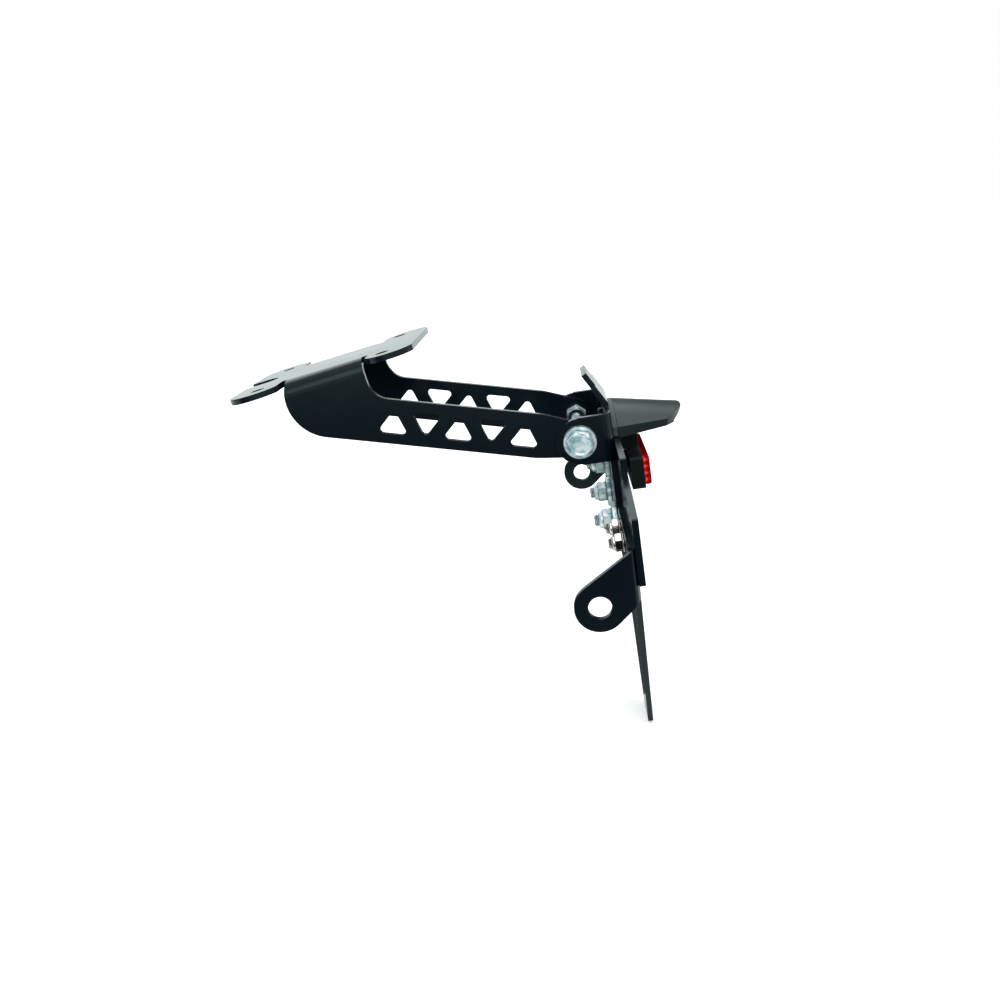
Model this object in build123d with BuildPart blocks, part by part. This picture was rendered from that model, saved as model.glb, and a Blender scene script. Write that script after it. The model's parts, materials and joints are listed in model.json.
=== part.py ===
import os
from math import acos, atan2, cos, hypot, radians, sin

from build123d import *

# Driving sizes of the folded steel pieces, in millimetres and degrees
sheet = 3.0
mount_tilt = 17.0
arm_droop = 5.2
carrier_lean = 9.0
pivot_back = 133.3
pivot_drop = 34.4

# Arm bracket: mounting plate with four ears, folded down into two arms
arm_width = 66.0
arm_depth = 23.3
fold_inside = 5.0
mount_hole = 7.0
mount_pitch_long = 67.8
mount_pitch_wide = 64.6
ear_radius = 14.0
rear_ear_radius = 12.5
rear_ear_shift = 3.7
front_ear_shift = 0.8
front_margin = 14.8
rear_margin = 15.2
arm_fold_start = 14.0
arm_fold_end = 55.8
relief_width = 2.4
relief_depth = 9.0
lead_notch_width = 13.0
lead_notch_depth = 17.0
arm_front_round = 23.0
arm_rear_round = 12.0
arm_front_rake = 3.6
arm_end_round = 9.0
arm_taper = 21.0
arm_taper_round = 40.0

# Triangular windows along each arm
window_count = 5
window_pitch = 17.0
window_base = 16.7
window_height = 12.9
window_round = 2.0
window_first = -96.4

# Pivot bracket: web behind the arms, two lugs and a bent tab
pivot_size = 6.0
pivot_play = 0.05
lug_radius = 12.0
web_front = 14.3
web_top = 12.4
web_bottom = -57.0
web_width = 66.0
lug_fold_inside = 2.3
web_corner = 6.0
tab_bend = 30.0
tab_length = 18.0
tab_width = 27.0
tab_foot_width = 38.0
tab_foot_length = 10.2
tab_knee = 1.2
tab_root = 2.0

# Number plate carrier
carrier_top = -2.0
carrier_height = 176.8
shoulder_half = 72.0
shoulder_drop = 8.4
wing_half = 114.0
wing_top = -18.7
wing_bottom = -50.6
tongue_half_top = 64.0
tongue_half_bottom = 12.0
wing_corner = 0.8
tongue_root_round = 6.0
tongue_tip_round = 2.0
slot_width = 7.0
slot_drop = 76.0
slot_length = 60.0

# Indicator brackets
indicator_overhang = 1.0
indicator_hole = 10.9
indicator_eye = 11.8
indicator_forward = 1.3
indicator_height = -57.8
flange_top = -32.0
flange_low = -57.6
flange_inner = 50.0
flange_inner_low = -48.5
flange_slope_end = 91.0
flange_corner = 4.0
indicator_fold_inside = 1.0
indicator_screw_first = 80.0
indicator_screw_pitch = 22.0
indicator_screw_height = -40.7

# Lamp
lamp_half = 29.0
lamp_low = -1.6
lamp_side = 3.2
lamp_crest = 12.0
lamp_base_thick = 3.0
hood_reach = 35.6
hood_low = -2.5
hood_tip_half = 19.2
hood_tip_crest = 5.2
hood_tip_low = -0.9
hood_tip_side = 1.9
hood_tip_round = 30.0
hood_wall = 2.0
hood_lip_half = 16.5
hood_lip_side = -0.2
hood_lip_thick = 1.0
hood_lip_deep = 8.0
lamp_body_half = 12.0
lamp_body_low = -13.2
lamp_body_deep = 10.0
lamp_body_high = 6.0
lamp_body_bevel = 1.5
lamp_seat_half = 10.0
lamp_lens_half = 17.0
lamp_lens_low = 0.2
lamp_lens_thick = 1.4
lamp_lens_reach = 14.0
lamp_gap = 0.4
lamp_screw = 4.0
lamp_screw_spread = 20.0
lamp_screw_height = 2.4

# Reflector
reflector_half = 27.0
reflector_top = -14.4
reflector_low = -32.4
reflector_stand_off = 3.9
reflector_base_thick = 7.0
reflector_lens_thick = 3.4
reflector_lens_low = -31.0
reflector_stud_height = -22.0
boss_size = 10.0
reflector_corner = 2.0
lens_inset = 0.45
lens_bevel = 0.8
stud_set_in = 4.0

# Fasteners
plate_bolt = 6.0
plate_bolt_half = 25.5
plate_bolt_height = -46.6
plate_nut_flats = 10.2
plate_nut_tall = 7.3
plate_washer_size = 17.6
plate_washer_thick = 2.8
small_screw = 5.0
small_nut_flats = 8.0
small_nut_tall = 5.0
small_washer_size = 10.0
small_washer_thick = 1.0
head_share = 0.33
hole_play = 0.2
thread_play = 0.05
bolt_stick_out = 2.2
screw_stick_out = 1.5
pivot_flange_size = 17.4
pivot_flange_thick = 1.8
pivot_head_flats = 12.0
pivot_head_tall = 6.0
pivot_head_turn = 7.4
pivot_dish_size = 10.2
pivot_dish_deep = 0.9
pivot_crown_size = 11.8
pivot_nut_flats = 10.6
pivot_nut_tall = 6.0
pivot_collar_size = 9.6
pivot_collar_tall = 2.0
pivot_ring_size = 8.2
pivot_ring_set_in = 0.3
pivot_bolt_stick_out = 1.5
pivot_tip_bevel = 0.8
collar_share = 0.3
tip_bevel_share = 0.1
crown_slope = 30.0

os.makedirs("parts", exist_ok=True)

half_arms = arm_width / 2
half_depth = arm_depth / 2
fold_outside = fold_inside + sheet
tilt_rad = radians(mount_tilt)
droop_rad = radians(arm_droop)
lean_rad = radians(carrier_lean)
carrier_bottom = carrier_top - carrier_height
slot_top = carrier_top - slot_drop
indicator_half = wing_half + indicator_overhang
crown_run = cos(radians(crown_slope)) / sin(radians(crown_slope))

# Upper face of the mounting plate, its long side along local x
mount = Plane(
    origin=(0, 0, 0),
    x_dir=(cos(tilt_rad), 0, sin(tilt_rad)),
    z_dir=(-sin(tilt_rad), 0, cos(tilt_rad)),
)
pivot = Vector(pivot_back, 0, -pivot_drop)

# Side view plane that runs along the arms, seen from the left
arm_side = Plane(
    origin=(pivot.X, -half_arms, pivot.Z),
    x_dir=(cos(droop_rad), 0, -sin(droop_rad)),
    z_dir=(0, -1, 0),
)

# Leaning plane of the carrier: local x is sideways, local y runs up the plate, local z points to the rear
carrier = Plane(origin=pivot, x_dir=(0, 1, 0), z_dir=(cos(lean_rad), 0, sin(lean_rad)))
carrier_side = Plane(origin=pivot, x_dir=carrier.z_dir, z_dir=(0, -1, 0))

web_back = web_front + sheet
carrier_back = web_back + sheet
lug_outside = half_arms + sheet
front_holes = -mount_pitch_long / 2
rear_holes = mount_pitch_long / 2
half_pitch_wide = mount_pitch_wide / 2
lamp_screw_half = lamp_screw_spread / 2
lamp_screw_places = ((lamp_screw_half, lamp_screw_height), (-lamp_screw_half, lamp_screw_height))


def spot(side, up, back):
    """Plane parallel to the carrier at a sideways, upward and rearward place."""
    place = carrier.from_local_coords((side, up, back))
    return Plane(origin=place, x_dir=carrier.x_dir, z_dir=carrier.z_dir)


def across(side_place, facing):
    """Plane across the pivot axis at a sideways place, facing left (-1) or right (1)."""
    return Plane(origin=(pivot.X, side_place, pivot.Z), x_dir=(0, 0, 1), z_dir=(0, facing, 0))


def save(piece, label):
    piece.part.label = label
    export_step(piece.part, f"parts/{label}.step")


# Folded arm bracket
plate_start = front_holes - front_margin
plate_end = rear_holes + rear_margin
fold_start = front_holes + arm_fold_start
fold_end = front_holes + arm_fold_end
flat_half = half_arms - fold_outside
front_ear_centre = front_holes - front_ear_shift
rear_ear_centre = rear_holes + rear_ear_shift

with BuildSketch(mount) as plate_outline:
    with Locations(((plate_start + plate_end) / 2, 0)):
        Rectangle(plate_end - plate_start, 2 * flat_half)
    with Locations((front_ear_centre, 0)):
        Rectangle(2 * ear_radius, mount_pitch_wide)
    with Locations((front_ear_centre, half_pitch_wide), (front_ear_centre, -half_pitch_wide)):
        Circle(ear_radius)
    with Locations((rear_ear_centre, 0)):
        Rectangle(2 * rear_ear_radius, mount_pitch_wide)
    with Locations((rear_ear_centre, half_pitch_wide), (rear_ear_centre, -half_pitch_wide)):
        Circle(rear_ear_radius)
    # Bend reliefs between the ears and the folded stretch
    relief_inner = half_arms - relief_depth
    relief_outer = half_pitch_wide + 1.2 * ear_radius
    relief_mid = (relief_inner + relief_outer) / 2
    for relief_at in (fold_start - relief_width / 2, fold_end + relief_width / 2):
        with Locations((relief_at, relief_mid), (relief_at, -relief_mid)):
            Rectangle(relief_width, relief_outer - relief_inner, mode=Mode.SUBTRACT)
    # Round-ended notch for the leads in the front edge
    notch_round = lead_notch_width / 2
    with Locations((plate_start + (lead_notch_depth - notch_round) / 2, 0)):
        Rectangle(lead_notch_depth - notch_round, lead_notch_width, mode=Mode.SUBTRACT)
    with Locations((plate_start + lead_notch_depth - notch_round, 0)):
        Circle(notch_round, mode=Mode.SUBTRACT)
    with GridLocations(mount_pitch_long, mount_pitch_wide, 2, 2):
        Circle(mount_hole / 2, mode=Mode.SUBTRACT)

# Cross-section of the fold between plate and arm, and of the corner it rounds off
fold_spare = 2 * fold_outside
fold_bar = fold_end - fold_start + 2 * fold_spare
fold_begin = mount.from_local_coords((fold_start - fold_spare, 0, 0))
fold_across = Plane(origin=fold_begin, x_dir=(0, 1, 0), z_dir=mount.x_dir)
with BuildSketch(fold_across) as fold_section:
    with Locations((-flat_half, -fold_outside)):
        Circle(fold_outside)
        Circle(fold_inside, mode=Mode.SUBTRACT)
        Rectangle(fold_outside, fold_outside, align=(Align.MAX, Align.MIN), mode=Mode.INTERSECT)
with BuildSketch(fold_across) as fold_corner:
    with Locations((-flat_half, -fold_outside)):
        Rectangle(2 * fold_outside, 2 * fold_outside, align=(Align.MAX, Align.MIN))
        Circle(fold_outside, mode=Mode.SUBTRACT)

front_top = arm_side.to_local_coords(mount.from_local_coords((fold_start, -half_arms, 0)))
rear_top = arm_side.to_local_coords(mount.from_local_coords((fold_end, -half_arms, 0)))
down = arm_side.to_local_coords(mount.from_local_coords((fold_end, -half_arms, -1))) - rear_top
drop_run = (rear_top.Y - half_depth) / -down.Y
rear_corner = (rear_top.X + down.X * drop_run, half_depth)
front_corner = (front_top.X + arm_front_rake, -half_depth)

# The arms taper to a rounder end about the pivot
taper_reach = hypot(arm_taper, half_depth)
taper_turn = atan2(half_depth, -arm_taper) - acos(arm_end_round / taper_reach)
taper_x = arm_end_round * cos(taper_turn)
taper_y = arm_end_round * sin(taper_turn)

with BuildSketch(arm_side) as arm_outline:
    with BuildLine():
        Polyline((front_top.X, front_top.Y), front_corner, (-arm_taper, -half_depth), (taper_x, -taper_y))
        ThreePointArc((taper_x, -taper_y), (arm_end_round, 0), (taper_x, taper_y))
        Polyline((taper_x, taper_y), (-arm_taper, half_depth), rear_corner, (rear_top.X, rear_top.Y))
        Line((rear_top.X, rear_top.Y), (front_top.X, front_top.Y))
    make_face()
    for taper_side in (1, -1):
        taper_corner = (-arm_taper, taper_side * half_depth)
        fillet(arm_outline.vertices().sort_by_distance(taper_corner)[0], arm_taper_round)
    fillet(arm_outline.vertices().sort_by_distance(front_corner)[0], arm_front_round)
    fillet(arm_outline.vertices().sort_by_distance(rear_corner)[0], arm_rear_round)

with BuildPart() as arm_fold:
    extrude(fold_section.sketch, amount=fold_bar)
    extrude(arm_outline.sketch, amount=-fold_outside, mode=Mode.INTERSECT)

with BuildPart() as arm_sheet:
    extrude(arm_outline.sketch, amount=-sheet)
    extrude(fold_corner.sketch, amount=fold_bar, mode=Mode.SUBTRACT)

with BuildSketch(arm_side) as windows:
    for step in range(window_count):
        turn = 1 if step % 2 == 0 else -1
        middle = window_first + step * window_pitch
        low = (middle - window_base / 2, -turn * window_height / 2)
        high = (middle + window_base / 2, -turn * window_height / 2)
        Polygon(low, high, (middle, turn * window_height / 2), align=None)
    fillet(windows.vertices(), window_round)

with BuildSketch(arm_side) as arm_pivot_hole:
    Circle(pivot_size / 2 + hole_play)

with BuildPart() as arm_bracket:
    extrude(plate_outline.sketch, amount=-sheet)
    add(arm_fold.part)
    add(arm_sheet.part)
    extrude(windows.sketch, amount=-sheet, mode=Mode.SUBTRACT)
    extrude(arm_pivot_hole.sketch, amount=-sheet, mode=Mode.SUBTRACT)
    mirror(about=Plane.XZ)
save(arm_bracket, "arm_bracket")

# Pivot bracket with its web, two lugs and the bent tab
lug_fold_outside = lug_fold_inside + sheet
lug_flat_half = lug_outside - lug_fold_outside
lug_flat_end = web_back - lug_fold_outside
lug_plan = Plane(origin=carrier.from_local_coords((0, -web_top, 0)), x_dir=(0, -1, 0), z_dir=carrier.y_dir)

with BuildSketch(carrier.offset(web_front)) as web_outline:
    Rectangle(2 * lug_flat_half, 2 * web_top)
    with Locations((0, (web_bottom - web_top) / 2)):
        Rectangle(2 * lug_flat_half, -web_bottom + web_top)
    with Locations((0, (web_bottom - web_top - relief_width) / 2)):
        Rectangle(web_width, -web_bottom - web_top - relief_width)
    fillet(web_outline.vertices().group_by(Axis.Y)[0], web_corner)
    with Locations((plate_bolt_half, plate_bolt_height), (-plate_bolt_half, plate_bolt_height)):
        Circle(plate_bolt / 2 + hole_play, mode=Mode.SUBTRACT)
    with Locations((0, reflector_stud_height)):
        Circle(plate_bolt / 2 + hole_play, mode=Mode.SUBTRACT)
    with Locations(*lamp_screw_places):
        Circle(lamp_screw / 2 + hole_play, mode=Mode.SUBTRACT)

with BuildSketch(lug_plan) as lug_fold:
    with Locations((lug_flat_half, lug_flat_end)):
        Circle(lug_fold_outside)
        Circle(lug_fold_inside, mode=Mode.SUBTRACT)
        Rectangle(lug_fold_outside, lug_fold_outside, align=(Align.MIN, Align.MIN), mode=Mode.INTERSECT)

with BuildSketch(carrier_side.offset(lug_outside)) as lug_outline:
    Circle(lug_radius)
    with Locations((lug_flat_end / 2, 0)):
        Rectangle(lug_flat_end, 2 * web_top)
    Circle(pivot_size / 2 + pivot_play, mode=Mode.SUBTRACT)

tab_rad = radians(tab_bend)
tab_run = (-sin(tab_rad), cos(tab_rad))


def tab_profile(length):
    """Corner points of the bent tab in the side view of the carrier."""
    start = (web_front, web_top + tab_knee)
    front = (start[0] + tab_run[0] * length, start[1] + tab_run[1] * length)
    rear = (front[0] + sheet * cos(tab_rad), front[1] + sheet * sin(tab_rad))
    knee = start[1] + sheet * (1 - cos(tab_rad)) / sin(tab_rad)
    root = web_top - tab_root
    return [(web_front, root), start, front, rear, (web_back, knee), (web_back, root)]


with BuildSketch(carrier_side) as tab_side:
    Polygon(*tab_profile(tab_length), align=None)
with BuildSketch(carrier_side) as tab_foot_side:
    Polygon(*tab_profile(tab_foot_length), align=None)

with BuildPart() as pivot_bracket:
    extrude(lug_outline.sketch, amount=-sheet)
    extrude(lug_fold.sketch, amount=2 * web_top)
    mirror(about=Plane.XZ)
    extrude(web_outline.sketch, amount=sheet)
    extrude(tab_side.sketch, amount=tab_width / 2, both=True)
    extrude(tab_foot_side.sketch, amount=tab_foot_width / 2, both=True)
save(pivot_bracket, "pivot_bracket")

# Number plate carrier
with BuildSketch(carrier.offset(web_back)) as carrier_outline:
    half_points = [
        (shoulder_half, carrier_top),
        (shoulder_half, carrier_top - shoulder_drop),
        (wing_half, wing_top),
        (wing_half, wing_bottom),
        (tongue_half_top, wing_bottom),
        (tongue_half_bottom, carrier_bottom),
    ]
    other_points = [(-x, y) for x, y in reversed(half_points)]
    Polygon(*half_points, *other_points, align=None)
    corner_rounds = {
        0: wing_corner,
        2: wing_corner,
        3: wing_corner,
        4: tongue_root_round,
        5: tongue_tip_round,
    }
    for index, size in corner_rounds.items():
        for side in (1, -1):
            corner = (side * half_points[index][0], half_points[index][1])
            fillet(carrier_outline.vertices().sort_by_distance(corner)[0], size)
    with Locations((plate_bolt_half, plate_bolt_height), (-plate_bolt_half, plate_bolt_height)):
        Circle(plate_bolt / 2 + hole_play, mode=Mode.SUBTRACT)
    with Locations((0, reflector_stud_height)):
        Circle(plate_bolt / 2 + hole_play, mode=Mode.SUBTRACT)
    screw_rows = (indicator_screw_first, indicator_screw_first - indicator_screw_pitch)
    for row in screw_rows:
        with Locations((row, indicator_screw_height), (-row, indicator_screw_height)):
            Circle(small_screw / 2 + hole_play, mode=Mode.SUBTRACT)
    with Locations((0, slot_top - slot_length / 2)):
        SlotOverall(slot_length, slot_width, rotation=90, mode=Mode.SUBTRACT)
with BuildPart() as plate_carrier:
    extrude(carrier_outline.sketch, amount=sheet)
save(plate_carrier, "plate_carrier")

# Indicator brackets, left one first, the right one mirrored from it
eye_fold_outside = indicator_fold_inside + sheet
eye_flat_half = indicator_half - eye_fold_outside
eye_flat_end = web_back - eye_fold_outside
eye_low = flange_low - indicator_eye
eye_plan = Plane(
    origin=carrier.from_local_coords((0, eye_low, 0)),
    x_dir=(0, -1, 0),
    z_dir=carrier.y_dir,
)

with BuildSketch(carrier_side.offset(indicator_half)) as eye_outline:
    with BuildLine():
        CenterArc((-indicator_forward, indicator_height), indicator_eye, 0, 360)
        Line((web_back, flange_top), (web_back, flange_low))
    make_hull()
    with Locations((-indicator_forward, indicator_height)):
        Circle(indicator_hole / 2, mode=Mode.SUBTRACT)

with BuildSketch(eye_plan) as eye_section:
    with Locations((eye_flat_half, eye_flat_end)):
        Circle(eye_fold_outside)
        Circle(indicator_fold_inside, mode=Mode.SUBTRACT)
        Rectangle(eye_fold_outside, eye_fold_outside, align=(Align.MIN, Align.MIN), mode=Mode.INTERSECT)
with BuildSketch(eye_plan) as eye_corner:
    with Locations((eye_flat_half, eye_flat_end)):
        Rectangle(2 * eye_fold_outside, 2 * eye_fold_outside, align=(Align.MIN, Align.MIN))
        Circle(eye_fold_outside, mode=Mode.SUBTRACT)

with BuildPart() as eye_fold:
    extrude(eye_section.sketch, amount=flange_top - eye_low)
    extrude(eye_outline.sketch, amount=-eye_fold_outside, mode=Mode.INTERSECT)

with BuildPart() as eye_sheet:
    extrude(eye_outline.sketch, amount=-sheet)
    extrude(eye_corner.sketch, amount=flange_top - eye_low, mode=Mode.SUBTRACT)

with BuildSketch(carrier.offset(web_front)) as flange_outline:
    Polygon(
        (-eye_flat_half, flange_top),
        (-eye_flat_half, flange_low),
        (-flange_slope_end, flange_inner_low),
        (-flange_inner, flange_inner_low),
        (-flange_inner, flange_top),
        align=None,
    )
    fillet(flange_outline.vertices().group_by(Axis.X)[-1], flange_corner)
    for row in screw_rows:
        with Locations((-row, indicator_screw_height)):
            Circle(small_screw / 2 + hole_play, mode=Mode.SUBTRACT)

with BuildPart() as indicator_bracket_left:
    add(eye_sheet.part)
    add(eye_fold.part)
    extrude(flange_outline.sketch, amount=sheet)
save(indicator_bracket_left, "indicator_bracket_left")

with BuildPart() as indicator_bracket_right:
    add(indicator_bracket_left.part)
    mirror(about=Plane.XZ, mode=Mode.REPLACE)
save(indicator_bracket_right, "indicator_bracket_right")

# Pivot bolts with flanged and dished heads, nuts with a nylon ring
pivot_nut_seat = half_arms - sheet
pivot_bolt_end = pivot_nut_seat - pivot_nut_tall - pivot_collar_tall - pivot_bolt_stick_out

for side, label in ((-1, "left"), (1, "right")):
    with BuildPart(across(side * lug_outside, side)) as pivot_bolt:
        bottom = (Align.CENTER, Align.CENTER, Align.MIN)
        top = (Align.CENTER, Align.CENTER, Align.MAX)
        head_end = pivot_flange_thick + pivot_head_tall
        crown = pivot_crown_size / 2
        dish = pivot_dish_size / 2
        with BuildSketch(across(side * lug_outside, side)):
            RegularPolygon(pivot_head_flats / 2, 6, major_radius=False, rotation=30 + side * pivot_head_turn)
        extrude(amount=head_end)
        Cone(crown + head_end * crown_run, crown, head_end, align=bottom, mode=Mode.INTERSECT)
        Cylinder(pivot_flange_size / 2, pivot_flange_thick, align=bottom)
        with Locations(Location((0, 0, head_end))):
            Cone(dish - pivot_dish_deep, dish, pivot_dish_deep, align=top, mode=Mode.SUBTRACT)
        Cylinder(pivot_size / 2, lug_outside - pivot_bolt_end, align=top)
        bolt_tip = pivot_bolt.faces().sort_by(Axis.Y)[-1 if side < 0 else 0]
        chamfer(bolt_tip.edges(), pivot_tip_bevel)
    save(pivot_bolt, f"pivot_bolt_{label}")

    inward = across(side * pivot_nut_seat, -side)
    with BuildPart(inward) as pivot_nut:
        with BuildSketch(inward):
            RegularPolygon(pivot_nut_flats / 2, 6, major_radius=False)
        extrude(amount=pivot_nut_tall)
        nut_crown = pivot_nut_flats / 2
        nut_spread = nut_crown + pivot_nut_tall * crown_run
        Cone(nut_spread, nut_crown, pivot_nut_tall, align=bottom, mode=Mode.INTERSECT)
        with Locations(Location((0, 0, pivot_nut_tall))):
            Cylinder(pivot_collar_size / 2, pivot_collar_tall, align=bottom)
            Cylinder(pivot_ring_size / 2, pivot_collar_tall, align=bottom, mode=Mode.SUBTRACT)
        Cylinder(pivot_size / 2 + thread_play, pivot_nut_tall, align=bottom, mode=Mode.SUBTRACT)
    save(pivot_nut, f"pivot_nut_{label}")

    with BuildPart(inward.offset(pivot_nut_tall)) as pivot_ring:
        Cylinder(pivot_ring_size / 2 - thread_play, pivot_collar_tall - pivot_ring_set_in, align=bottom)
        Cylinder(pivot_size / 2 + thread_play, pivot_collar_tall, align=bottom, mode=Mode.SUBTRACT)
    save(pivot_ring, f"pivot_ring_{label}")

# Screws, washers and nuts that hold plates together, built along the rearward direction
plate_nut_seat = web_front - plate_washer_thick
plate_bolt_end = plate_nut_seat - plate_nut_tall - bolt_stick_out
small_nut_seat = web_front - small_washer_thick
small_screw_end = small_nut_seat - small_nut_tall - screw_stick_out


def button_screw(at, size, length):
    """Button head screw with its head to the rear of the seat plane."""
    with BuildPart(at) as screw:
        low = (Align.CENTER, Align.CENTER, Align.MIN)
        high = (Align.CENTER, Align.CENTER, Align.MAX)
        head = size * head_share
        head_radius = size * 0.88
        head_round = head * 0.75
        socket_radius = size * 0.3
        socket_deep = head * 0.7
        Cylinder(head_radius, head, align=low)
        crown = screw.faces().sort_by_distance(at.offset(size).origin)[0]
        fillet(crown.edges(), head_round)
        with BuildSketch(at.offset(head)):
            RegularPolygon(socket_radius, 6, major_radius=False)
        extrude(amount=-socket_deep, mode=Mode.SUBTRACT)
        Cylinder(size / 2, length, align=high)
        tip = screw.faces().sort_by_distance(at.offset(-length - size).origin)[0]
        chamfer(tip.edges(), size * tip_bevel_share)
    return screw


def washer(at, bore, size, thick):
    """Flat washer in front of the seat plane."""
    with BuildPart(at) as ring:
        high = (Align.CENTER, Align.CENTER, Align.MAX)
        Cylinder(size / 2, thick, align=high)
        Cylinder(bore / 2, thick, align=high, mode=Mode.SUBTRACT)
    return ring


def hex_nut(at, bore, flats, tall):
    """Lock nut in front of the seat plane: a hexagon with a rounded collar on its free end."""
    with BuildPart(at) as nut:
        high = (Align.CENTER, Align.CENTER, Align.MAX)
        collar = tall * collar_share
        hexagon = tall - collar
        crown = flats * 0.49
        collar_radius = flats * 0.45
        collar_round = collar * 0.7
        with BuildSketch(at):
            RegularPolygon(flats / 2, 6, major_radius=False, rotation=30)
        extrude(amount=-hexagon)
        Cone(crown, crown + hexagon * crown_run, hexagon, align=high, mode=Mode.INTERSECT)
        with Locations(Location((0, 0, -hexagon))):
            Cylinder(collar_radius, collar, align=high)
        free_end = nut.faces().sort_by_distance(at.offset(-tall - flats).origin)[0]
        fillet(free_end.edges(), collar_round)
        Cylinder(bore / 2, tall, align=high, mode=Mode.SUBTRACT)
    return nut


for side, label in ((-1, "left"), (1, "right")):
    y_place = side * plate_bolt_half
    plate_bolt_length = carrier_back - plate_bolt_end
    save(
        button_screw(spot(y_place, plate_bolt_height, carrier_back), plate_bolt, plate_bolt_length),
        f"plate_bolt_{label}",
    )
    save(
        washer(
            spot(y_place, plate_bolt_height, web_front),
            plate_bolt + 2 * hole_play,
            plate_washer_size,
            plate_washer_thick,
        ),
        f"plate_washer_{label}",
    )
    save(
        hex_nut(
            spot(y_place, plate_bolt_height, plate_nut_seat),
            plate_bolt + 2 * thread_play,
            plate_nut_flats,
            plate_nut_tall,
        ),
        f"plate_nut_{label}",
    )
    for row, row_label in zip(screw_rows, ("outer", "inner")):
        row_place = side * row
        small_length = carrier_back - small_screw_end
        save(
            button_screw(spot(row_place, indicator_screw_height, carrier_back), small_screw, small_length),
            f"indicator_screw_{label}_{row_label}",
        )
        save(
            washer(
                spot(row_place, indicator_screw_height, web_front),
                small_screw + 2 * hole_play,
                small_washer_size,
                small_washer_thick,
            ),
            f"indicator_washer_{label}_{row_label}",
        )
        save(
            hex_nut(
                spot(row_place, indicator_screw_height, small_nut_seat),
                small_screw + 2 * thread_play,
                small_nut_flats,
                small_nut_tall,
            ),
            f"indicator_nut_{label}_{row_label}",
        )

reflector_washer = washer(
    spot(0, reflector_stud_height, web_front),
    plate_bolt + 2 * hole_play,
    plate_washer_size,
    plate_washer_thick,
)
save(reflector_washer, "reflector_washer")
reflector_nut = hex_nut(
    spot(0, reflector_stud_height, plate_nut_seat),
    plate_bolt + 2 * thread_play,
    plate_nut_flats,
    plate_nut_tall,
)
save(reflector_nut, "reflector_nut")

# Reflector on a boss and stud, with its red lens on the rear face
base_front = carrier_back + reflector_stand_off
base_back = base_front + reflector_base_thick
base_seat = spot(0, (reflector_top + reflector_low) / 2, base_front)
with BuildPart(base_seat) as reflector_base:
    base_low = (Align.CENTER, Align.CENTER, Align.MIN)
    base_high = (Align.CENTER, Align.CENTER, Align.MAX)
    Box(2 * reflector_half, reflector_top - reflector_low, reflector_base_thick, align=base_low)
    base_corners = reflector_base.edges().filter_by(Axis(base_seat.origin, base_seat.z_dir))
    fillet(base_corners, reflector_corner)
    stud_drop = reflector_stud_height - (reflector_top + reflector_low) / 2
    with Locations((0, stud_drop)):
        Cylinder(boss_size / 2, reflector_stand_off, align=base_high)
        stud_hole = plate_bolt / 2 + thread_play
        Cylinder(stud_hole, stud_set_in, align=base_low, mode=Mode.SUBTRACT)
        Cylinder(stud_hole, reflector_stand_off, align=base_high, mode=Mode.SUBTRACT)
save(reflector_base, "reflector_base")

stud_end = spot(0, reflector_stud_height, base_front + stud_set_in)
with BuildPart(stud_end) as reflector_stud:
    Cylinder(plate_bolt / 2, base_front + stud_set_in - plate_bolt_end, align=base_high)
    chamfer(reflector_stud.edges().filter_by(GeomType.CIRCLE), plate_bolt * tip_bevel_share)
save(reflector_stud, "reflector_stud")

with BuildPart(spot(0, (reflector_top + reflector_lens_low) / 2, base_back)) as reflector_lens:
    lens_tall = reflector_top - reflector_lens_low - 2 * lens_inset
    Box(2 * (reflector_half - lens_inset), lens_tall, reflector_lens_thick, align=base_low)
    lens_corners = reflector_lens.edges().filter_by(Axis(base_seat.origin, base_seat.z_dir))
    fillet(lens_corners, reflector_corner)
    far_behind = spot(0, reflector_stud_height, base_back + 2 * reflector_half).origin
    lens_face = reflector_lens.faces().sort_by_distance(far_behind)[0]
    chamfer(lens_face.edges(), lens_bevel)
save(reflector_lens, "reflector_lens")

# Lamp: base on the web, hollow hood, light unit, lens and two screws
hood_front = web_back + lamp_base_thick
hood_tip = hood_front + hood_reach


def arch(at, low, side_top, crest, half):
    """Section with straight foot and sides and a round top."""
    with BuildSketch(at) as section:
        with BuildLine():
            Polyline((half, side_top), (half, low), (-half, low), (-half, side_top))
            ThreePointArc((-half, side_top), (0, crest), (half, side_top))
        make_face()
    return section.sketch


def hood_round(inset):
    """Circle whose upright drum rounds the tip of the hood in plan."""
    middle = spot(0, hood_tip_crest, hood_tip - hood_tip_round).origin
    with BuildSketch(Plane(origin=middle, x_dir=(0, -1, 0), z_dir=(0, 0, 1))) as plan:
        Circle(hood_tip_round - inset)
    return plan.sketch


with BuildPart() as lamp_base:
    foot = arch(carrier.offset(web_back), lamp_low, lamp_side, lamp_crest, lamp_half)
    extrude(foot, amount=lamp_base_thick)
    with BuildSketch(carrier.offset(web_back)):
        with Locations(*lamp_screw_places):
            Circle(lamp_screw / 2 + thread_play)
    extrude(amount=lamp_base_thick, mode=Mode.SUBTRACT)
save(lamp_base, "lamp_base")

with BuildPart() as hood_hollow:
    wide = lamp_half - hood_wall
    narrow = hood_tip_half - hood_wall
    thin_side = 0.6 * hood_wall
    first_crest = lamp_crest - hood_wall
    last_crest = hood_tip_crest - hood_wall
    below = hood_low - 4 * hood_wall
    loft(
        [
            arch(carrier.offset(hood_front), below, lamp_side - thin_side, first_crest, wide),
            arch(carrier.offset(hood_tip), below, hood_tip_side - thin_side, last_crest, narrow),
        ]
    )
    extrude(hood_round(hood_wall), amount=hood_reach, both=True, mode=Mode.INTERSECT)

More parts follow.
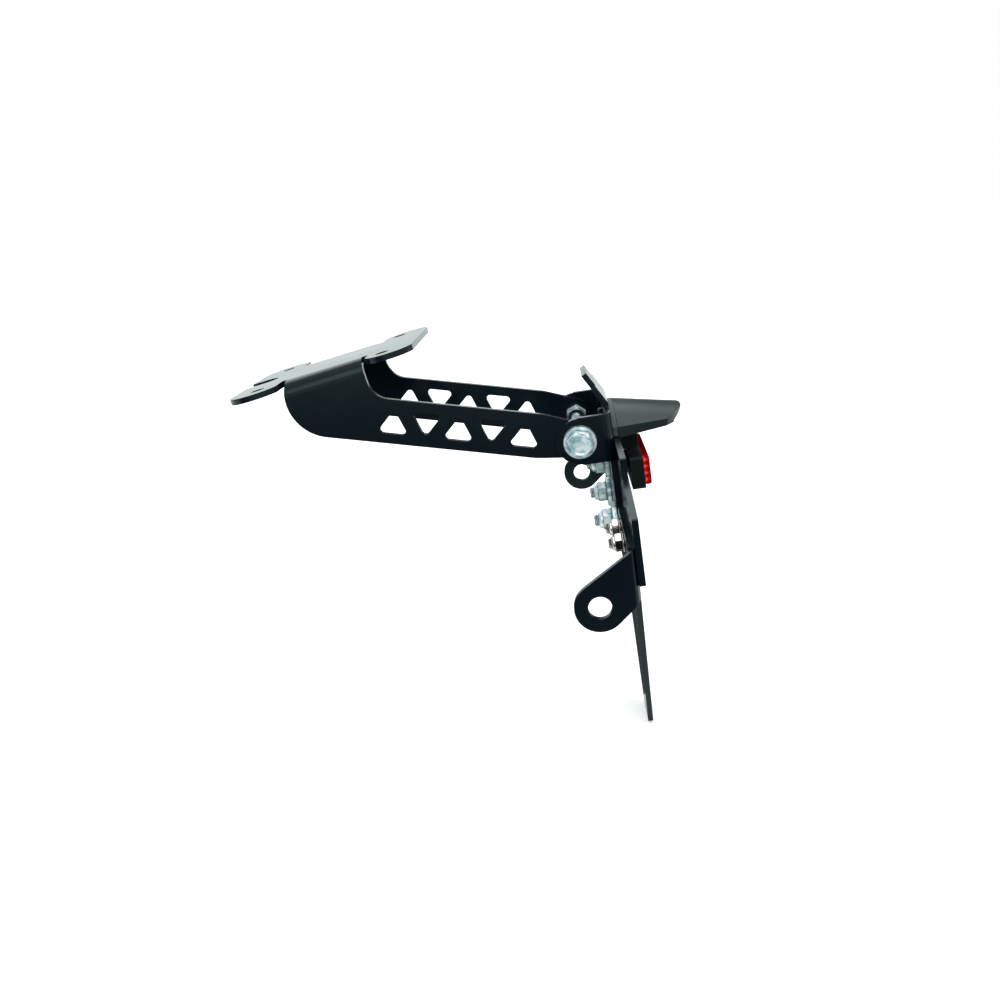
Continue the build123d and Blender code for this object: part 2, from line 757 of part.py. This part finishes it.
with BuildPart() as lamp_hood:
    loft(
        [
            arch(carrier.offset(hood_front), hood_low, lamp_side, lamp_crest, lamp_half),
            arch(carrier.offset(hood_tip), hood_tip_low, hood_tip_side, hood_tip_crest, hood_tip_half),
        ]
    )
    extrude(hood_round(0), amount=hood_reach, both=True, mode=Mode.INTERSECT)
    add(hood_hollow.part, mode=Mode.SUBTRACT)
    lip_crest = hood_tip_crest - hood_lip_thick
    mouth = arch(carrier.offset(hood_tip - hood_lip_deep), below, hood_lip_side, lip_crest, hood_lip_half)
    extrude(mouth, amount=hood_lip_deep + hood_wall, mode=Mode.SUBTRACT)
save(lamp_hood, "lamp_hood")

body_front = carrier_back + lamp_gap
body_back = body_front + lamp_body_deep
with BuildPart(spot(0, lamp_body_low, body_front)) as lamp_body:
    box_low = (Align.CENTER, Align.MIN, Align.MIN)
    Box(2 * lamp_body_half, lamp_body_high - lamp_body_low, lamp_body_deep, align=box_low)
    rear_corners = lamp_body.edges().sort_by_distance(spot(0, lamp_body_low, body_back).origin)[0]
    chamfer(rear_corners, lamp_body_bevel)
    with Locations(Location((0, lamp_low - lamp_body_low + lamp_gap, 0))):
        seat_tall = lamp_body_high - lamp_low - lamp_gap
        seat_low = (Align.CENTER, Align.MIN, Align.MAX)
        Box(2 * lamp_seat_half, seat_tall, body_front - hood_front, align=seat_low)
save(lamp_body, "lamp_body")

with BuildPart(spot(0, lamp_lens_low, body_back)) as lamp_lens:
    Box(2 * lamp_lens_half, lamp_lens_thick, lamp_lens_reach, align=box_low)
save(lamp_lens, "lamp_lens")

screw_head_tall = lamp_screw * 0.6
screw_head_radius = lamp_screw * 0.95
screw_head_round = lamp_screw * 0.3
cross_long = lamp_screw * 1.1
cross_wide = lamp_screw * 0.25
cross_deep = lamp_screw * 0.3
for side, label in ((-1, "left"), (1, "right")):
    head_seat = spot(side * lamp_screw_half, lamp_screw_height, web_front)
    with BuildPart(head_seat) as lamp_screw_piece:
        forward = (Align.CENTER, Align.CENTER, Align.MAX)
        rearward = (Align.CENTER, Align.CENTER, Align.MIN)
        Cylinder(screw_head_radius, screw_head_tall, align=forward)
        screw_head = lamp_screw_piece.faces().sort_by_distance(head_seat.offset(-4 * lamp_screw).origin)[0]
        fillet(screw_head.edges(), screw_head_round)
        with BuildSketch(head_seat.offset(-screw_head_tall)):
            Rectangle(cross_long, cross_wide)
            Rectangle(cross_wide, cross_long)
        extrude(amount=cross_deep, mode=Mode.SUBTRACT)
        Cylinder(lamp_screw / 2, sheet + lamp_base_thick - lamp_gap, align=rearward)
    save(lamp_screw_piece, f"lamp_screw_{label}")
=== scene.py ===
import json
import math

import bmesh
import bpy
from mathutils import Euler, Matrix, Vector


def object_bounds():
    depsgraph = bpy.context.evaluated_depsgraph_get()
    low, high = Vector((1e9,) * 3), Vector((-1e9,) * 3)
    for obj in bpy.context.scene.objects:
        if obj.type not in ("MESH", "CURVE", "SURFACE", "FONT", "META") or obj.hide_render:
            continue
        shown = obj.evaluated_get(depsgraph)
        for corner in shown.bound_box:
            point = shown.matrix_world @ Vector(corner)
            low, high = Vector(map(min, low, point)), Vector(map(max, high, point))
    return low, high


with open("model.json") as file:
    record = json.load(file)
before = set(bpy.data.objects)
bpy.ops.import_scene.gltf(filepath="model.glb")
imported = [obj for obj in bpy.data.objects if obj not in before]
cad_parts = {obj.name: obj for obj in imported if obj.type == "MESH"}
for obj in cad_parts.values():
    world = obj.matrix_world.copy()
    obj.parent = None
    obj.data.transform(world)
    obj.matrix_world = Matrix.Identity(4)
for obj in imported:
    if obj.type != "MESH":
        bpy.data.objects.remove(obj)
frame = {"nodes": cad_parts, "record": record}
nodes = frame["nodes"]
cad_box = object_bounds()
scene = bpy.context.scene
lowest = cad_box[0][2]

# Real sizes in millimetres that the patterns, soft edges and painted shade are worked out from
MM = 0.001
CUT_EDGE_ROUND = 0.35
MOULDED_EDGE_ROUND = 0.4
TURNED_EDGE_ROUND = 0.2
M6_PITCH = 1.0
M5_PITCH = 0.8
THREAD_DEPTH = 0.3
ORANGE_PEEL = 1.6
COAT_GRAIN = 0.7
COAT_CLOUD = 38
PLATING_CLOUD = 3.5
DRAWN_MARK = 0.5
CREASE_REACH = 2.2
EDGE_SHADE_REACH = 0.7
ERODED_PIT = 0.8
MELT_CLOUD = 9
SEAM_REACH = 1.2
HALF_SEAM_SHADOW_LINE = 0.4
PRISM_ROW = 3.6
PRISM_FACET = 2.4
WINDOW_RIB = 2.0
WEB_BEHIND_PIVOT = 14.3
HALF_ARMS_INSIDE = 30.0

# Directions across and up the leaning carrier, and the depth at which its bracket's web begins
CARRIER_LEAN = math.radians(9.0)
carrier_rear = Vector((math.cos(CARRIER_LEAN), 0, math.sin(CARRIER_LEAN)))
carrier_up = Vector((-math.sin(CARRIER_LEAN), 0, math.cos(CARRIER_LEAN)))
pivot = Vector(frame["record"]["behaviour"]["joints"][0]["pos_m"])
web_depth = carrier_rear.dot(pivot) + WEB_BEHIND_PIVOT * MM

# Colours that are used more than once
GLOSS_TINT = "#DDF7F2"
# Colour of the painted shade in the seams
SEAM_SHADE = "#040708"
WHITE = "#FFFFFF"


def linear(hex_colour):
    """Linear colour of an sRGB hex value."""
    parts = [int(hex_colour[i:i + 2], 16) / 255 for i in (1, 3, 5)]
    return (*(c / 12.92 if c <= 0.04045 else ((c + 0.055) / 1.055) ** 2.4 for c in parts), 1.0)


def per_metre(size_mm):
    """Texture scale at which one feature is about this many millimetres wide."""
    return 1.0 / (size_mm * MM)


def wave_scale(pitch_mm):
    """Scale of a wave texture whose bands repeat at this pitch in millimetres."""
    radians_per_unit = 20
    return 2 * math.pi / radians_per_unit / (pitch_mm * MM)


def add(tree, kind, sockets=None, links=None, **settings):
    """Adds a node with its settings, its socket values and the links into it."""
    made = tree.nodes.new(kind)
    for name, value in settings.items():
        setattr(made, name, value)
    for name, value in (sockets or {}).items():
        made.inputs[name].default_value = value
    for name, source in (links or {}).items():
        tree.links.new(source, made.inputs[name])
    return made


def start_material(name):
    """An empty node material and its tree."""
    made = bpy.data.materials.new(name)
    made.use_nodes = True
    made.node_tree.nodes.clear()
    return made, made.node_tree


def along_carrier(tree):
    """Distance behind the front face of the pivot bracket's web, across the carrier."""
    turned = add(
        tree, "ShaderNodeMapping", {"Rotation": (0.0, CARRIER_LEAN, 0.0), "Location": (-web_depth, 0.0, 0.0)},
        {"Vector": add(tree, "ShaderNodeTexCoord").outputs["Object"]},
    )
    return add(tree, "ShaderNodeSeparateXYZ", links={"Vector": turned.outputs["Vector"]}).outputs["X"]


def along_pivot(tree):
    """Distance outside the inner face of the arms, along the pivot bolts."""
    place = add(tree, "ShaderNodeTexCoord").outputs["Object"]
    sideways = add(tree, "ShaderNodeSeparateXYZ", links={"Vector": place}).outputs["Y"]
    outward = add(tree, "ShaderNodeMath", links={0: sideways}, operation="ABSOLUTE").outputs["Value"]
    inner_face = HALF_ARMS_INSIDE * MM
    return add(tree, "ShaderNodeMath", {1: inner_face}, {0: outward}, operation="SUBTRACT").outputs["Value"]


def shade_corners(tree, tone, colour, reach_mm, dark_at, clear_at, **settings):
    """Paints shade into a tone close to inner corners, or to outer ones where the settings look inside the
    piece.
    """
    corner = add(tree, "ShaderNodeAmbientOcclusion", {"Distance": reach_mm * MM}, **settings)
    clear = add(
        tree, "ShaderNodeMapRange", {"From Min": dark_at, "From Max": clear_at},
        {"Value": corner.outputs["AO"]},
    )
    shaded = add(
        tree, "ShaderNodeMix", {"A": linear(colour)}, {"Factor": clear.outputs["Result"], "B": tone},
        data_type="RGBA",
    )
    return shaded.outputs["Result"]


def powder_coat():
    """Polyester powder coat on steel: satin black, faintly pebbled, a little uneven in gloss."""
    made, tree = start_material("satin_black_powder_coat")
    place = add(tree, "ShaderNodeTexCoord").outputs["Object"]
    # The grain is drawn coarser than real so that it shows
    peel = add(
        tree, "ShaderNodeTexNoise", {"Scale": per_metre(ORANGE_PEEL), "Detail": 1.0}, {"Vector": place},
    )
    grain = add(
        tree, "ShaderNodeTexNoise", {"Scale": per_metre(COAT_GRAIN), "Detail": 2.0}, {"Vector": place},
    )
    cloud = add(
        tree, "ShaderNodeTexNoise", {"Scale": per_metre(COAT_CLOUD), "Detail": 3.0}, {"Vector": place},
    )
    tone = add(
        tree, "ShaderNodeMix", {"A": linear("#040D14"), "B": linear("#09131A")},
        {"Factor": cloud.outputs["Fac"]}, data_type="RGBA",
    )
    gloss = add(tree, "ShaderNodeMapRange", {"To Min": 0.17, "To Max": 0.25}, {"Value": cloud.outputs["Fac"]})
    waves = add(
        tree, "ShaderNodeBump", {"Strength": 0.10, "Distance": 0.05 * MM}, {"Height": peel.outputs["Fac"]},
    )
    skin = add(
        tree, "ShaderNodeBump", {"Strength": 0.12, "Distance": 0.03 * MM},
        {"Height": grain.outputs["Fac"], "Normal": waves.outputs["Normal"]},
    )
    coat = add(
        tree, "ShaderNodeBsdfPrincipled",
        {"Specular IOR Level": 0.2, "Specular Tint": linear(GLOSS_TINT), "IOR": 1.5},
        {
            "Base Color": tone.outputs["Result"],
            "Roughness": gloss.outputs["Result"],
            "Normal": skin.outputs["Normal"],
        },
    )
    add(tree, "ShaderNodeOutputMaterial", links={"Surface": coat.outputs["BSDF"]})
    return made


def plated_steel(name, low, high, smooth, rough, metal=1.0, along=None, pitch_mm=M6_PITCH):
    """Rolled steel fasteners, plated or plain: bright, with drawn marks, patchy gloss, and painted shade in
    the creases and along the outer edges.

    Where a distance along the shank is given, its negative side carries a thread of this pitch, with painted
    shade in its roots.
    """
    made, tree = start_material(name)
    place = add(tree, "ShaderNodeTexCoord").outputs["Object"]
    # The drawn marks are coarser than real so that they show
    patch = add(
        tree, "ShaderNodeTexNoise", {"Scale": per_metre(PLATING_CLOUD), "Detail": 4.0}, {"Vector": place},
    )
    marks = add(
        tree, "ShaderNodeTexNoise", {"Scale": per_metre(DRAWN_MARK), "Detail": 2.0}, {"Vector": place},
    )
    cloudy = add(
        tree, "ShaderNodeMapRange", {"From Min": 0.35, "From Max": 0.65}, {"Value": patch.outputs["Fac"]},
    )
    tone = add(
        tree, "ShaderNodeMix", {"A": linear(low), "B": linear(high)}, {"Factor": cloudy.outputs["Result"]},
        data_type="RGBA",
    ).outputs["Result"]
    gloss = add(
        tree, "ShaderNodeMapRange", {"To Min": smooth, "To Max": rough}, {"Value": patch.outputs["Fac"]},
    )
    skin = add(
        tree, "ShaderNodeBump", {"Strength": 0.15, "Distance": 0.02 * MM}, {"Height": marks.outputs["Fac"]},
    ).outputs["Normal"]
    # Painted shade darkens the creases, and a painted dark line runs along the outer edges
    tone = shade_corners(tree, tone, "#141B1D", CREASE_REACH, dark_at=0.35, clear_at=0.9, samples=8)
    tone = shade_corners(
        tree, tone, "#27323A", EDGE_SHADE_REACH, dark_at=0.66, clear_at=0.92, samples=16, inside=True,
        only_local=True,
    )
    if along:
        length = along(tree)
        half_turn = pitch_mm * MM / 2
        turn = add(tree, "ShaderNodeMath", {1: half_turn}, {0: length}, operation="PINGPONG")
        flank = add(tree, "ShaderNodeMapRange", {"From Max": half_turn}, {"Value": turn.outputs["Value"]})
        shank = add(tree, "ShaderNodeMath", {1: 0.0}, {0: length}, operation="GREATER_THAN")
        crest = add(
            tree, "ShaderNodeMath", links={0: flank.outputs["Result"], 1: shank.outputs["Value"]},
            operation="MAXIMUM",
        ).outputs["Value"]
        # Painted shade darkens the thread roots
        tone = add(
            tree, "ShaderNodeMix", {"A": linear("#2A3436")}, {"Factor": crest, "B": tone}, data_type="RGBA",
        ).outputs["Result"]
        skin = add(
            tree, "ShaderNodeBump", {"Strength": 0.6, "Distance": THREAD_DEPTH * MM},
            {"Height": crest, "Normal": skin},
        ).outputs["Normal"]
    steel = add(
        tree, "ShaderNodeBsdfPrincipled", {"Metallic": metal},
        {"Base Color": tone, "Roughness": gloss.outputs["Result"], "Normal": skin},
    )
    add(tree, "ShaderNodeOutputMaterial", links={"Surface": steel.outputs["BSDF"]})
    return made


def moulded_plastic(name, low, high, rough, shine=0.12, seat_of=None):
    """Injection-moulded plastic with a spark-eroded skin: dull, finely pitted, with painted shade along its
    seams.

    Where a piece is given, a painted shadow line runs round its seat across the carrier.
    """
    made, tree = start_material(name)
    place = add(tree, "ShaderNodeTexCoord").outputs["Object"]
    # The eroded pits are drawn coarser than real so that they show
    pits = add(tree, "ShaderNodeTexVoronoi", {"Scale": per_metre(ERODED_PIT)}, {"Vector": place})
    cloud = add(
        tree, "ShaderNodeTexNoise", {"Scale": per_metre(MELT_CLOUD), "Detail": 3.0}, {"Vector": place},
    )
    tone = add(
        tree, "ShaderNodeMix", {"A": linear(low), "B": linear(high)}, {"Factor": cloud.outputs["Fac"]},
        data_type="RGBA",
    ).outputs["Result"]
    # Painted shade darkens the seams between mouldings
    tone = shade_corners(tree, tone, SEAM_SHADE, SEAM_REACH, dark_at=0.45, clear_at=0.85, samples=8)
    # A painted shadow line along the seat of the given piece
    if seat_of:
        seat = min(carrier_rear.dot(vertex.co) for vertex in seat_of.data.vertices) - web_depth
        seam_shadow_line = add(
            tree, "ShaderNodeMath", {1: seat, 2: HALF_SEAM_SHADOW_LINE * MM}, {0: along_carrier(tree)},
            operation="COMPARE",
        )
        tone = add(
            tree, "ShaderNodeMix", {"B": linear(SEAM_SHADE)},
            {"Factor": seam_shadow_line.outputs["Value"], "A": tone}, data_type="RGBA",
        ).outputs["Result"]
    uneven_gloss = 0.12
    gloss = add(
        tree, "ShaderNodeMapRange", {"To Min": rough, "To Max": rough + uneven_gloss},
        {"Value": cloud.outputs["Fac"]},
    )
    skin = add(
        tree, "ShaderNodeBump", {"Strength": 0.5, "Distance": 0.1 * MM},
        {"Height": pits.outputs["Distance"]},
    )
    plastic = add(
        tree, "ShaderNodeBsdfPrincipled",
        {"IOR": 1.53, "Specular IOR Level": shine, "Specular Tint": linear(GLOSS_TINT)},
        {"Base Color": tone, "Roughness": gloss.outputs["Result"], "Normal": skin.outputs["Normal"]},
    )
    add(tree, "ShaderNodeOutputMaterial", links={"Surface": plastic.outputs["BSDF"]})
    return made


def red_acrylic(lens):
    """Moulded red acrylic over small prisms: deep red, with painted orange glints on the facets along the
    seat.
    """
    made, tree = start_material("red_prism_acrylic")
    depths = [carrier_rear.dot(vertex.co) for vertex in lens.data.vertices]
    seat = min(depths)
    thick = max(depths) - seat
    top = max(carrier_up.dot(vertex.co) for vertex in lens.data.vertices)
    # Lens axes: x runs from its seat to the rear, y sideways and z up from its top edge
    place = add(
        tree, "ShaderNodeMapping", {"Rotation": (0.0, CARRIER_LEAN, 0.0), "Location": (-seat, 0.0, -top)},
        {"Vector": add(tree, "ShaderNodeTexCoord").outputs["Object"]},
    ).outputs["Vector"]
    skewed = add(tree, "ShaderNodeMapping", {"Rotation": (math.radians(45), 0.0, 0.0)}, {"Vector": place})
    # The painted orange glint fades out within the lens, away from its seat
    glint_depth = 0.6 * thick
    depth = add(
        tree, "ShaderNodeMapRange", {"From Max": glint_depth},
        {"Value": add(tree, "ShaderNodeSeparateXYZ", links={"Vector": place}).outputs["X"]},
    )
    # Level rows of prisms, crossed by rows that slant both ways
    rows = add(
        tree, "ShaderNodeTexWave", {"Scale": wave_scale(PRISM_ROW)}, {"Vector": place},
        wave_profile="TRI", bands_direction="Z",
    )
    rising = add(
        tree, "ShaderNodeTexWave", {"Scale": wave_scale(PRISM_FACET)}, {"Vector": skewed.outputs["Vector"]},
        wave_profile="TRI", bands_direction="Y",
    )
    falling = add(
        tree, "ShaderNodeTexWave", {"Scale": wave_scale(PRISM_FACET)}, {"Vector": skewed.outputs["Vector"]},
        wave_profile="TRI", bands_direction="Z",
    )
    facet = add(
        tree, "ShaderNodeMath", links={0: rising.outputs["Fac"], 1: falling.outputs["Fac"]},
        operation="MULTIPLY",
    )
    teeth = add(
        tree, "ShaderNodeMath", links={0: rows.outputs["Fac"], 1: depth.outputs["Result"]},
        operation="SUBTRACT",
    )
    facet_share = 0.35
    # Painted orange glints on the prism facets
    painted_glint = add(
        tree, "ShaderNodeMath", {1: facet_share}, {0: facet.outputs["Value"], 2: teeth.outputs["Value"]},
        operation="MULTIPLY_ADD",
    )
    level = add(
        tree, "ShaderNodeMapRange", {"From Min": -1.0, "From Max": 1.0}, {"Value": painted_glint.outputs["Value"]},
    )
    tone = add(tree, "ShaderNodeValToRGB", links={"Fac": level.outputs["Result"]})
    # Deep red at the low end of the ramp and the orange of the painted glints at the high end, with two reds
    # between
    steps = tone.color_ramp.elements
    steps[0].color = linear("#7E0815")
    steps[1].color = linear("#FF6238")
    steps[1].position = 0.8
    for position, colour in ((0.52, "#B00E1D"), (0.6, "#EE2F1C")):
        steps.new(position).color = linear(colour)
    shape = add(
        tree, "ShaderNodeBump", {"Strength": 0.2, "Distance": 0.2 * MM}, {"Height": facet.outputs["Value"]},
    )
    acrylic = add(
        tree, "ShaderNodeBsdfPrincipled",
        {"Roughness": 0.4, "IOR": 1.49, "Specular IOR Level": 0.0},
        {"Base Color": tone.outputs["Color"], "Normal": shape.outputs["Normal"]},
    )
    add(tree, "ShaderNodeOutputMaterial", links={"Surface": acrylic.outputs["BSDF"]})
    return made


def clear_window():
    """Clear moulded polycarbonate over the light unit, slightly ribbed to spread the light."""
    made, tree = start_material("clear_polycarbonate")
    place = add(tree, "ShaderNodeTexCoord").outputs["Object"]
    ribs = add(
        tree, "ShaderNodeTexWave", {"Scale": wave_scale(WINDOW_RIB)}, {"Vector": place}, bands_direction="Y",
    )
    shape = add(
        tree, "ShaderNodeBump", {"Strength": 0.4, "Distance": 0.2 * MM}, {"Height": ribs.outputs["Fac"]},
    )
    window = add(
        tree, "ShaderNodeBsdfPrincipled",
        {"Base Color": linear("#E6EEF0"), "Roughness": 0.08, "IOR": 1.58, "Transmission Weight": 0.85},
        {"Normal": shape.outputs["Normal"]},
    )
    add(tree, "ShaderNodeOutputMaterial", links={"Surface": window.outputs["BSDF"]})
    return made


# Darkest and lightest colour, smoothest and roughest gloss, and for zinc the share that shines as metal
ZINC = ("#93C2CA", "#F8FFFF", 0.22, 0.36, 0.34)
STAINLESS = ("#A7A59C", "#D2CFC6", 0.1, 0.2)

coat = powder_coat()
zinc = plated_steel("bright_zinc_plate", *ZINC)
zinc_screw = plated_steel("bright_zinc_thread", *ZINC, along=along_carrier)
zinc_pivot = plated_steel("bright_zinc_pivot_thread", *ZINC, along=along_pivot)
stainless = plated_steel("plain_stainless", *STAINLESS)
stainless_screw = plated_steel("plain_stainless_thread", *STAINLESS, along=along_carrier, pitch_mm=M5_PITCH)
black_zinc = plated_steel("black_zinc_plate", "#15181A", "#24282A", 0.3, 0.45)
black_abs = moulded_plastic("black_abs", "#060B0D", "#0C1215", 0.4)
grey_abs = moulded_plastic("dark_grey_abs", "#0A1113", "#11191B", 0.27, shine=0.26)
mid_abs = moulded_plastic("mid_grey_abs", "#3A4240", "#464E4C", 0.45, seat_of=nodes["lamp_hood"])
nylon = moulded_plastic("blue_nylon", "#14283C", "#1E3A55", 0.4)
prism_red = red_acrylic(nodes["reflector_lens"])
clear = clear_window()

# Finish and edge of each family of pieces, found by the start of a piece's name
FINISHES = {
    "arm_bracket": (coat, CUT_EDGE_ROUND),
    "pivot_bracket": (coat, CUT_EDGE_ROUND),
    "plate_carrier": (coat, CUT_EDGE_ROUND),
    "indicator_bracket": (coat, CUT_EDGE_ROUND),
    "lamp_base": (mid_abs, MOULDED_EDGE_ROUND),
    "lamp_hood": (grey_abs, MOULDED_EDGE_ROUND),
    "lamp_body": (black_abs, MOULDED_EDGE_ROUND),
    "lamp_lens": (clear, TURNED_EDGE_ROUND),
    "lamp_screw": (black_zinc, TURNED_EDGE_ROUND),
    "reflector_base": (black_abs, MOULDED_EDGE_ROUND),
    "reflector_stud": (zinc_screw, TURNED_EDGE_ROUND),
    "reflector_lens": (prism_red, MOULDED_EDGE_ROUND),
    "reflector_washer": (zinc, TURNED_EDGE_ROUND),
    "reflector_nut": (zinc, TURNED_EDGE_ROUND),
    "plate_bolt": (zinc_screw, TURNED_EDGE_ROUND),
    "plate_washer": (zinc, TURNED_EDGE_ROUND),
    "plate_nut": (zinc, TURNED_EDGE_ROUND),
    "indicator_screw": (stainless_screw, TURNED_EDGE_ROUND),
    "indicator_washer": (stainless, TURNED_EDGE_ROUND),
    "indicator_nut": (stainless, TURNED_EDGE_ROUND),
    "pivot_bolt": (zinc_pivot, TURNED_EDGE_ROUND),
    "pivot_nut": (zinc, TURNED_EDGE_ROUND),
    "pivot_ring": (nylon, TURNED_EDGE_ROUND),
}

# What counts as one point, as one flat face and as a sharp edge
ONE_POINT = 0.001 * MM
ONE_FACE = math.radians(0.05)
SHARP = math.radians(35)


def soften(node, width_mm):
    """Joins a node's loose triangles into whole faces and rounds its sharp edges."""
    joined = node.modifiers.new("joined", "WELD")
    joined.merge_threshold = ONE_POINT
    flat = node.modifiers.new("whole_faces", "DECIMATE")
    flat.decimate_type = "DISSOLVE"
    flat.angle_limit = ONE_FACE
    edge = node.modifiers.new("soft_edges", "BEVEL")
    edge.width = width_mm * MM
    edge.segments = 2
    edge.limit_method = "ANGLE"
    edge.angle_limit = SHARP
    edge.miter_outer = "MITER_ARC"
    level = node.modifiers.new("flat_stays_flat", "WEIGHTED_NORMAL")
    level.mode = "FACE_AREA"
    level.weight = 100
    for face in node.data.polygons:
        face.use_smooth = True


for name, node in nodes.items():
    family = max((key for key in FINISHES if name.startswith(key)), key=len)
    material, edge_round = FINISHES[family]
    node.data.materials.clear()
    node.data.materials.append(material)
    soften(node, edge_round)


def directly_seen(tree):
    """One where the eye meets a surface, also by gloss or through glass, and zero where it only lights."""
    ray = add(tree, "ShaderNodeLightPath")
    mirrored = add(
        tree, "ShaderNodeMath", links={0: ray.outputs["Is Camera Ray"], 1: ray.outputs["Is Glossy Ray"]},
        operation="MAXIMUM",
    )
    return add(
        tree, "ShaderNodeMath", links={0: mirrored.outputs["Value"], 1: ray.outputs["Is Transmission Ray"]},
        operation="MAXIMUM",
    ).outputs["Value"]


def flat_mesh(name, side):
    """Square mesh that lies flat about the origin."""
    shape = bmesh.new()
    bmesh.ops.create_grid(shape, x_segments=1, y_segments=1, size=side / 2)
    mesh = bpy.data.meshes.new(name)
    shape.to_mesh(mesh)
    shape.free()
    return mesh


def white_paper():
    """Matt white paper: it keeps the shadow near the object and sweeps up to pure white away from it."""
    made, tree = start_material("white_paper")
    place = add(tree, "ShaderNodeTexCoord").outputs["Object"]
    away = add(tree, "ShaderNodeVectorMath", links={0: place}, operation="LENGTH")
    sweep = add(
        tree, "ShaderNodeMapRange", {"From Min": 0.25, "From Max": 1.1, "To Min": 0.38, "To Max": 0.85},
        {"Value": away.outputs["Value"]},
    )
    lift = add(
        tree, "ShaderNodeMath", links={0: directly_seen(tree), 1: sweep.outputs["Result"]},
        operation="MULTIPLY",
    )
    sheet = add(
        tree, "ShaderNodeBsdfPrincipled",
        {"Base Color": linear("#E9EBEB"), "Roughness": 0.9, "Emission Color": linear(WHITE)},
        {"Emission Strength": lift.outputs["Value"]},
    )
    add(tree, "ShaderNodeOutputMaterial", links={"Surface": sheet.outputs["BSDF"]})
    return made


# Pale floor just under the lowest edge
FLOOR_SIDE = 12.0
FLOOR_GAP = 0.2 * MM
floor_mesh = flat_mesh("floor", FLOOR_SIDE)
floor_mesh.transform(Matrix.Translation((0, 0, lowest - FLOOR_GAP)))
floor_mesh.materials.append(white_paper())
floor = bpy.data.objects.new("floor", floor_mesh)
scene.collection.objects.link(floor)

# White room: white to the eye and in reflections, lower where it lights the object
ROOM_LIGHT = 0.32
ROOM_SEEN = 1.0
scene.view_settings.view_transform = "Standard"
room = bpy.data.worlds.new("white_room")
room.use_nodes = True
room_tree = room.node_tree
room_tree.nodes.clear()
room_level = add(
    room_tree, "ShaderNodeMapRange", {"To Min": ROOM_LIGHT, "To Max": ROOM_SEEN},
    {"Value": directly_seen(room_tree)},
)
sky = add(
    room_tree, "ShaderNodeBackground", {"Color": linear(WHITE)}, {"Strength": room_level.outputs["Result"]},
)
add(room_tree, "ShaderNodeOutputWorld", links={"Surface": sky.outputs["Background"]})
scene.world = room


def soft_box(name, place, aim, wide, tall, watts, colour):
    """Rectangular soft box at a place, turned towards a point."""
    glow = bpy.data.lights.new(name, "AREA")
    glow.color = linear(colour)[:3]
    glow.shape = "RECTANGLE"
    glow.size = wide
    glow.size_y = tall
    glow.energy = watts
    box = bpy.data.objects.new(name, glow)
    box.location = place
    box.rotation_euler = (Vector(aim) - Vector(place)).to_track_quat("-Z", "Y").to_euler()
    scene.collection.objects.link(box)


# One soft box overhead, a wide fill above the camera, and two behind that glossy tops mirror
LIGHT_AIM = (0.1, 0.0, -0.05)
soft_box(
    "top_box", place=(0.2, -0.05, 1.0), aim=LIGHT_AIM, wide=1.2, tall=1.2, watts=10.5, colour=WHITE,
)
soft_box(
    "fill_box", place=(0.0, -1.4, 0.9), aim=LIGHT_AIM, wide=1.8, tall=1.0, watts=14.0, colour=WHITE,
)
soft_box(
    "back_box", place=(0.1, 1.5, 0.35), aim=(0.08, 0.0, 0.0), wide=3.2, tall=1.0, watts=5.4, colour="#D2F6F0",
)
soft_box(
    "high_back_box", place=(-0.45, 1.1, 1.0), aim=(0.0, 0.0, 0.0), wide=1.8, tall=0.9, watts=10.0,
    colour="#EEFCFA",
)


def hang_cloth(name, colour, middle, turn, wide, tall):
    """Matt cloth that only gloss mirrors, laid flat and then turned about its middle."""
    weave, tree = start_material(name)
    matt = add(tree, "ShaderNodeBsdfPrincipled", {"Base Color": linear(colour), "Roughness": 0.9})
    add(tree, "ShaderNodeOutputMaterial", links={"Surface": matt.outputs["BSDF"]})
    mesh = flat_mesh(name, side=1.0)
    mesh.transform(Matrix.LocRotScale(middle, Euler(turn).to_quaternion(), (wide, tall, 1.0)))
    mesh.materials.append(weave)
    cloth = bpy.data.objects.new(name, mesh)
    cloth.visible_camera = False
    cloth.visible_diffuse = False
    cloth.visible_shadow = False
    scene.collection.objects.link(cloth)


# Cloths: dark in front, behind and at the left, grey at the back right
QUARTER_TURN = math.radians(90)
LYING = (0.0, 0.0, 0.0)
FACING_ALONG_X = (0.0, QUARTER_TURN, 0.0)
FACING_ALONG_Y = (QUARTER_TURN, 0.0, 0.0)
hang_cloth("table_cloth", "#121A1E", middle=(0.1, -0.73, lowest), turn=LYING, wide=2.8, tall=0.86)
hang_cloth("rear_cloth", "#2C3234", middle=(0.03, 0.64, lowest), turn=LYING, wide=0.56, tall=1.24)
hang_cloth("left_cloth", "#1C1F22", middle=(-0.8, -0.35, 0.05), turn=FACING_ALONG_X, wide=0.5, tall=0.9)
hang_cloth("back_cloth", "#5A6060", middle=(0.83, 1.4, 0.43), turn=FACING_ALONG_Y, wide=1.3, tall=0.8)

# Camera at the photograph's viewing angle
CAMERA_PLACE = (0.11383, -0.51378, 0.08275)
CAMERA_DOWN = math.radians(17.275)
CAMERA_LEFT = math.radians(2.564)
FOCAL_LENGTH = 34.56
SENSOR_WIDTH = 36.0
NEAREST_SEEN = 0.01
camera_lens = bpy.data.cameras.new("view")
camera_lens.sensor_width = SENSOR_WIDTH
camera_lens.lens = FOCAL_LENGTH
camera_lens.clip_start = NEAREST_SEEN
camera = bpy.data.objects.new("view", camera_lens)
camera.location = CAMERA_PLACE
camera.rotation_euler = (QUARTER_TURN - CAMERA_DOWN, 0, CAMERA_LEFT)
scene.collection.objects.link(camera)
scene.camera = camera
